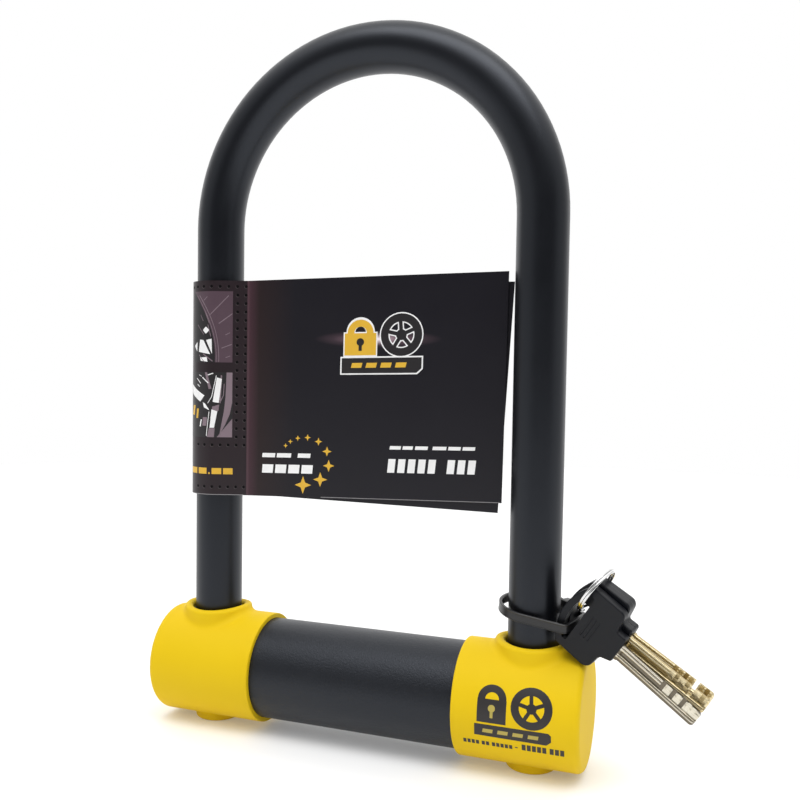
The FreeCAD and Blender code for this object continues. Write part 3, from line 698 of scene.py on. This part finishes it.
def print_cap():
    """Padlock, wheel and plate, and a row of plain marks below them."""
    lock_x, wheel, wheel_r = 59.4, (74.2, 5.7), 6.2
    plate = [(52.9, -7.0), (79.8, -7.2), (81.6, -5.6), (81.6, -3.2), (80.6, -2.3), (53.0, -2.3)]
    small, large = 1.62, 1.9      # from one mark to the next
    marks = [bar(x + small * k, x + small * k + 1.2, -11.5, -9.6)
             for x, count in ((48.4, 4), (55.5, 2), (59.4, 5)) for k in range(count)]
    marks += [bar(68.1, 69.1, -10.6, -10.1)]
    marks += [bar(x + large * k, x + large * k + 1.45, -11.2, -8.4, 0.1)
              for x, count in ((70.6, 5), (80.9, 3)) for k in range(count)]
    cap_ink("cap_spokes", spokes(*wheel, wheel_r, 0.7), 1, "cap")
    cap_ink("cap_print", [plate, disc(*wheel, 1.9)] + marks + band(*wheel, wheel_r, 1.5)
            + padlock(lock_x, -1.5, 7.2, 5.5, 4.0, 1.4), 2, "cap")
    gaps = [bar(x, x + 3.8, -5.5, -4.0, 0.3) for x in spread(56.0, 73.0, 3)]
    gaps += [disc(lock_x, 3.9, 1.35), bar(lock_x - 0.55, lock_x + 0.55, 0.4, 2.7)]
    cap_ink("cap_print_gaps", gaps, 3, "gap")


# --- key ring -------------------------------------------------------------------------
KEY_TURN = (Matrix.Rotation(math.radians(-16), 3, "Z")
            @ Matrix.Rotation(math.radians(94.9), 3, "X")
            @ Matrix.Rotation(math.radians(-34.5), 3, "Z"))
KEY_ORIGIN = Vector((101.0, -16.2, 30.1))
RING_CENTRE = KEY_ORIGIN + KEY_TURN @ Vector((-16.9, 10.6, -6.3))


def make_ring():
    """Split ring: two turns of wire side by side, with a step from one to the other."""
    radius, half_wide, half_deep, apart = 9.5, 0.485, 0.5, 0.5
    gap, step, start, sides = 0.4, 0.35, math.radians(200), 14
    roundness = 0.55      # of the wire's section: 1 is round, 0 is square
    rings = []
    for turn in spread(gap, 4 * math.pi - gap, 220):
        share = min(1.0, max(0.0, (turn - 2 * math.pi) / (2 * step) + 0.5))
        offset = apart * (2 * share * share * (3 - 2 * share) - 1)
        out = Vector((0, math.cos(turn + start), math.sin(turn + start)))
        ring = []
        for side in range(sides):
            angle = 2 * math.pi * side / sides
            x, y = math.cos(angle), math.sin(angle)
            wide = math.copysign(abs(x) ** roundness, x) * half_wide
            deep = math.copysign(abs(y) ** roundness, y) * half_deep
            local = out * (radius + deep) + Vector((offset + wide, 0, 0))
            ring.append((RING_CENTRE + KEY_TURN @ local) * MM)
        rings.append(ring)
    piece("split_ring", *sweep(rings, closed=False), [MATERIALS["ring_wire"]], "ring",
          "ring_wire", sharp=50, replaces="key_ring")


# --- cable tie ------------------------------------------------------------------------
TIE_CENTRE = Vector((70.0, 0.0, 37.34))
TIE_LOOP = (-0.6, 0.0, 12.6)                    # x, y and radius in the strap's own plane
TIE_CORNERS = ((15.97, -8.12, 1.8), (15.97, 5.48, 1.8))
TIE_HALF_WIDE = 1.8
TIE_FALL = -0.11                                # slope of the strap's plane to the right
HEAD_AT, HEAD_LEAN = Vector((8.2, 10.9)), Matrix.Rotation(math.radians(-18.5), 2)


def tie_frame():
    """The strap's plane, turned so that the strap runs straight through the bows."""
    through = KEY_TURN @ Vector((0, 0, -1))
    rise = -(through.z - TIE_FALL * through.x) / through.y
    normal = Vector((-TIE_FALL, rise, 1)).normalized()
    across = through.cross(normal)
    return Matrix((across, through, normal)).transposed()


TIE_TURN = tie_frame()


def tie_place(x, y, z):
    return (TIE_CENTRE + TIE_TURN @ Vector((x, y, z))) * MM


def belt(circles, reach):
    """Points and outward directions about reach apart along a belt round the circles."""
    pairs = list(zip(circles, circles[1:] + circles[:1]))
    turns = [math.atan2(b[1] - a[1], b[0] - a[0])
             - math.acos((a[2] - b[2]) / math.hypot(b[0] - a[0], b[1] - a[1])) for a, b in pairs]
    path = []
    for index, (here, following) in enumerate(pairs):
        start, end = turns[index - 1], turns[index]
        end += 2 * math.pi * (end < start)
        steps = max(6, round((end - start) * here[2] / reach))
        path += [(Vector(here[:2]) + toward(a) * here[2], toward(a))
                 for a in spread(start, end, steps)]
        out = toward(end)
        near, far = Vector(here[:2]) + out * here[2], Vector(following[:2]) + out * following[2]
        steps = round((far - near).length / reach)
        path += [(near.lerp(far, k / steps), out) for k in range(1, steps)]
    return path


def make_strap():
    """Closed strap: teeth on its inner side, and a rail along each edge of the outer side."""
    rings = []
    w = TIE_HALF_WIDE
    for index, (at, out) in enumerate(belt([TIE_LOOP, *TIE_CORNERS], 0.25)):
        tooth = -0.30 - 0.06 * (index % 4)
        profile = [(-0.6, -w + 0.2), (-0.45, -w), (0.4, -w), (0.6, -w + 0.18), (0.6, -w + 0.45),
                   (0.52, -w + 0.6), (0.52, w - 0.6), (0.6, w - 0.45), (0.6, w - 0.18), (0.4, w),
                   (-0.45, w), (-0.6, w - 0.2), (-0.6, w - 0.6), (tooth, w - 0.7),
                   (tooth, -w + 0.7), (-0.6, -w + 0.6)]
        rings.append([tie_place(*(at + out * thick), wide) for thick, wide in profile])
    piece("tie_strap", *sweep(rings, closed=True), [MATERIALS["tie_nylon"]], "tie", "tie_nylon",
          sharp=28, replaces="cable_tie")


def make_tie_head():
    """Bevelled block with a pocket in its outer face and one in the side with the tail."""
    long, deep, wide, rise = 5.2, 4.4, 5.4, 1.0
    head = bmesh.new()
    bmesh.ops.create_cube(head, size=1.0)
    for vertex in head.verts:
        x, y, z = vertex.co
        vertex.co = Vector((x * long, y * deep + rise, z * wide))
    bmesh.ops.bevel(head, geom=head.edges[:], offset=0.55, segments=3, affect="EDGES",
                    profile=0.5)
    head.faces.ensure_lookup_table()
    for way, inset, sink in ((Vector((0, 1, 0)), 0.55, 0.35), (Vector((-1, 0, 0)), 0.5, 0.3)):
        face = max(head.faces, key=lambda f: f.calc_area() * (f.normal.dot(way) > 0.99))
        bmesh.ops.inset_region(head, faces=[face], thickness=inset, use_even_offset=True)
        bmesh.ops.inset_region(head, faces=[face], thickness=0.12, depth=-sink,
                               use_even_offset=True)
    # the bevel's own order of corners and faces isn't the same in every run
    ordered = sorted(head.verts, key=lambda v: tuple(v.co))
    number = {vertex: k for k, vertex in enumerate(ordered)}
    faces = []
    for face in head.faces:
        corners = [number[v] for v in face.verts]
        first = corners.index(min(corners))
        faces.append(corners[first:] + corners[:first])
    faces.sort()
    points = [tie_place(*(HEAD_AT + HEAD_LEAN @ Vector(v.co[:2])), v.co.z) for v in ordered]
    head.free()
    piece("tie_head", points, faces, [MATERIALS["tie_nylon"]], "tie", "tie_nylon")


def make_tie_tail():
    """Cut-off end of the strap, with a slanting cut at its free end."""
    rings = []
    w = TIE_HALF_WIDE
    for index, x in enumerate(spread(-6.4, -2.2, 28)):
        tooth = 1.62 + 0.08 * (index % 4)
        outline = [(1.4, -w + 0.1), (2.3, -w + 0.1), (2.36, -w + 0.3), (2.36, w - 0.3),
                   (2.3, w - 0.1), (1.4, w - 0.1), (1.4, w - 0.6), (tooth, w - 0.7),
                   (tooth, -w + 0.7), (1.4, -w + 0.6)]
        slant = 0.5 if index == 0 else 0.0
        rings.append([tie_place(*(HEAD_AT + HEAD_LEAN @ Vector((x + slant * z / w, y))), z)
                      for y, z in outline])
    piece("tie_tail", *sweep(rings, closed=False), [MATERIALS["tie_nylon"]], "tie", "tie_nylon",
          sharp=28)


# --- key blades -----------------------------------------------------------------------
# In the key's own frame x runs to the tip, y across the blade and z through it.
BLADE_HALF, BLADE_HALF_THICK, BLADE_MID = 3.3, 1.2, -2.0
BLADE_X = (-9.0, 3.6, 36.5)                     # end in the head, start of the grooves, tip
CUT_START, CUT_PITCH, CUT_WIDE, CUT_SIDE = 20.5, 2.1, 1.5, -0.5
SHADED_CUT_DEPTH = 0.95                                  # cuts at least this deep get the painted groove shade, shallower ones a painted highlight
GROOVE_DEEP, TIP_ROUND = 0.75, 1.3
CHAMFER_FROM = 3.1                              # where the plain shank's chamfer starts
KEY_PIVOT, KEY_STEP = Vector((-16.1, -6.0, 0)), 4.3
KEY_FAN, KEY_SHIFT = (0.0, 3.0, 4.5), (0.0, 1.1, 0.3)       # for each key, degrees and mm
# depths of each key's cuts; one that is deeper than the blade goes through it
KEY_CUTS = ((1.0, 0.4, 1.3, 0.6, 1.3, 0.9, 0.4), (0.5, 1.2, 0.7, 1.3, 2.4, 0.6, 1.0),
            (0.9, 0.4, 1.2, 0.8, 2.4, 0.5, 1.1))
# milled face: places across the blade, and how far below its top the metal is there
BLADE_FACE = (
    (-3.30, 0.90), (-3.18, 0.70), (-1.95, 0.70), (-1.90, 0.22), (-1.80, 0.06), (-1.58, 0.0),
    (-1.36, 0.06), (-1.27, 0.22), (-1.23, 0.45), (-0.88, 0.45), (-0.84, 0.14), (-0.67, 0.0),
    (-0.54, 0.12), (-0.50, 0.75), (1.28, 0.75), (1.32, 0.16), (1.44, 0.04), (1.75, 0.0),
    (2.05, 0.03), (2.17, 0.12), (2.22, 0.30), (2.58, 0.30), (2.63, 0.10), (2.80, 0.0),
    (3.12, 0.02), (3.24, 0.08), (3.30, 0.22))

# a blade's colours: painted shade for groove floors, painted highlights for ribs and for low
# cuts, in that order
SHADED_GROOVE, LIT_RIB, LIT_CUT = 0, 1, 2
# the dark first colour is painted shade and the light ones are painted highlights, all on one
# metal
NICKEL_SHADED_AND_LIT = ((0.19, 0.165, 0.125), (0.76, 0.71, 0.6), (0.80, 0.75, 0.62))
BRASS_SHADED_AND_LIT = ((0.66, 0.53, 0.28), (0.85, 0.75, 0.5), (0.92, 0.80, 0.52))


def key_place(point, index):
    """A point of a blade, moved to its key's place in the fan."""
    turn = Matrix.Rotation(math.radians(KEY_FAN[index]), 3, "Z")
    fanned = KEY_PIVOT + turn @ (point - KEY_PIVOT)
    fanned += Vector((0, KEY_SHIFT[index], -index * KEY_STEP))
    return (KEY_ORIGIN + KEY_TURN @ fanned) * MM


def blade_ring(x, cut, milled, tip, index):
    """The blade's outline at x. tip runs from 0 to 1 over its rounded end."""
    through = cut > 2 * BLADE_HALF_THICK - 0.1
    blunt = 0.96      # below 1, so that the round never turns fully square to the blade
    narrow = 1 - TIP_ROUND * (1 - math.sqrt(1 - blunt * tip * tip)) / BLADE_HALF
    shrink = 0.25 * tip * tip
    ring = []
    for side in (1, -1):
        for y, depth in BLADE_FACE[::-1]:
            depth = depth if milled else max(0.0, abs(y) - CHAMFER_FROM)
            y *= side
            if through and y > CUT_SIDE:
                share = (y - CUT_SIDE) / (BLADE_HALF - CUT_SIDE)
                y, depth = CUT_SIDE, GROOVE_DEEP + (BLADE_HALF_THICK - GROOVE_DEEP) * share
            elif cut and side == 1 and y > CUT_SIDE:
                depth = max(depth, cut)
            z = BLADE_MID + side * (BLADE_HALF_THICK - depth - shrink)
            ring.append(key_place(Vector((x, y * narrow, z)), index))
    return ring


def painted_light_of_face(along, across, depths, first_cut):
    """Which painted light a face gets: painted shade on groove floors and in deep cuts, a painted
    highlight on the ribs, and a painted highlight in low cuts and on the lands between the cuts."""
    count = len(BLADE_FACE)
    if across % count == count - 1:
        return SHADED_GROOVE
    (_, depth_a), (low, depth_b) = BLADE_FACE[::-1][across % count:across % count + 2]
    if along >= first_cut and across < count and low >= CUT_SIDE:
        return LIT_CUT if max(depths[along:along + 2]) < SHADED_CUT_DEPTH else SHADED_GROOVE
    rib_top = 0.2
    return LIT_RIB if depth_a != depth_b or depth_a < rib_top else SHADED_GROOVE


def make_blade(index, shaded_and_lit_metals):
    start, grooves, end = BLADE_X
    slope = 0.06      # length of a cut's steep sides
    stations = [(x, 0.0, False, 0.0) for x in (start, 2.0, grooves - 0.1)]
    stations.append((grooves + 0.5, 0.0, True, 0.0))
    for number, cut in enumerate(KEY_CUTS[index]):
        x0 = CUT_START + number * CUT_PITCH
        x1 = x0 + CUT_WIDE
        stations += [(x, depth, True, 0.0)
                     for x, depth in ((x0, 0.0), (x0 + slope, cut), (x1 - slope, cut), (x1, 0.0))]
    stations += [(end - TIP_ROUND * (1 - tip), 0.0, True, tip) for tip in spread(0.0, 1.0, 6)]
    rings = [blade_ring(*station, index) for station in stations]
    depths = [station[1] for station in stations]
    points, faces = sweep(rings, closed=False)
    first_cut = next(k for k, depth in enumerate(depths) if depth) - 1
    picks = [painted_light_of_face(*divmod(face, len(rings[0])), depths, first_cut)
             for face in range(len(faces) - 2)]
    name = "key_%d" % (index + 1)
    piece(name + "_milled_blade", points, faces, shaded_and_lit_metals, name, "key_metal",
          picks + [SHADED_GROOVE] * 2, sharp=50, replaces=name + "_blade")


make_card()
print_dots()
print_upper_picture()
print_lower_picture()
print_strokes()
print_sparks()
print_emblem()
print_cut_edge()
print_back_leaf()
print_cap()
make_ring()
make_strap()
make_tie_head()
make_tie_tail()
blade_way = KEY_TURN @ Vector((1, 0, 0))
# each key's metal as three copies: painted shade in the grooves, painted highlights on ribs and
# cuts
for key, shaded_and_lit_colours in enumerate((NICKEL_SHADED_AND_LIT, BRASS_SHADED_AND_LIT, BRASS_SHADED_AND_LIT)):
    make_blade(key, [milled_metal("key_%d_%s" % (key + 1, kind), colour, blade_way)
                     for kind, colour in zip(("groove", "rib", "cut"), shaded_and_lit_colours)])


# --- stage ----------------------------------------------------------------------------
def make_floor():
    floor_z, reach, sides = cad_box[0].z, 1.3, 96
    ring = [(reach * math.cos(2 * math.pi * k / sides), reach * math.sin(2 * math.pi * k / sides),
             floor_z) for k in range(sides)]
    mesh = bpy.data.meshes.new("floor")
    mesh.from_pydata(ring, [], [tuple(range(sides))])
    floor = bpy.data.objects.new("floor", mesh)
    bpy.context.scene.collection.objects.link(floor)
    m = Shader("floor_paint")
    m.set(Base__Color=m.mix(m.noise(3), 0.82, 0.84), Roughness=0.8)
    m.set(Emission__Color=(1, 1, 1, 1), Emission__Strength=0.15)
    mesh.materials.append(m.material)


WORLD = {"side": 0.6, "back": 1.3, "front": 0.02, "top": 1.3}


def make_world():
    """A white room, dark on the viewer's side. The camera itself sees it white all round."""
    world = bpy.data.worlds.new("studio")
    bpy.context.scene.world = world
    world.use_nodes = True
    tree = world.node_tree
    viewer = Vector((0.366, -0.9306, 0))
    way = tree.nodes.new("ShaderNodeTexCoord").outputs["Generated"]

    def share(axis, low, high):
        """0 to 1 as the cosine of the angle from axis goes from low to high."""
        dot = tree.nodes.new("ShaderNodeVectorMath")
        dot.operation = "DOT_PRODUCT"
        tree.links.new(way, dot.inputs[0])
        dot.inputs[1].default_value = axis
        step = tree.nodes.new("ShaderNodeMapRange")
        step.interpolation_type = "SMOOTHSTEP"
        step.inputs["From Min"].default_value = low
        step.inputs["From Max"].default_value = high
        tree.links.new(dot.outputs["Value"], step.inputs["Value"])
        return step.outputs["Result"]

    def blend(factor, a, b):
        node = tree.nodes.new("ShaderNodeMix")
        for socket, value in zip(node.inputs[:1] + node.inputs[2:4], (factor, a, b)):
            if isinstance(value, bpy.types.NodeSocket):
                tree.links.new(value, socket)
            else:
                socket.default_value = value
        return node.outputs[0]

    glow = blend(share(-viewer, 0.1, 0.8), WORLD["side"], WORLD["back"])
    glow = blend(share(viewer, 0.45, 0.85), glow, WORLD["front"])
    glow = blend(share(Vector((0, 0, 1)), 0.45, 0.75), glow, WORLD["top"])
    sees = tree.nodes.new("ShaderNodeLightPath").outputs["Is Camera Ray"]
    tree.links.new(blend(sees, glow, 1.0), tree.nodes["Background"].inputs["Strength"])
    tree.nodes["Background"].inputs["Color"].default_value = (1, 1, 1, 1)


def area_light(name, place, at, size, glow, glossy=True):
    """A soft box of radiance glow. Without glossy it gives light but has no reflection."""
    data = bpy.data.lights.new(name, "AREA")
    data.shape = "RECTANGLE"
    data.size, data.size_y = size
    data.energy = glow * math.pi * size[0] * size[1]
    light = bpy.data.objects.new(name, data)
    bpy.context.scene.collection.objects.link(light)
    ahead = (Vector(at) - Vector(place)).normalized()
    turn = ahead.to_track_quat("-Z", "Y").to_matrix().to_4x4()
    light.matrix_world = Matrix.Translation(place) @ turn
    light.visible_glossy = glossy
    light.visible_camera = False


make_camera()
make_floor()
make_world()
middle = (0, 0, 0.1)
area_light("softbox_top", (0.12, -0.34, 1.0), middle, size=(1.0, 0.5), glow=3.2)
area_light("fill_front", (0.5, -1.1, 0.5), middle, size=(1.0, 0.8), glow=0.55, glossy=False)
scene = bpy.context.scene
scene.view_settings.view_transform = "Standard"
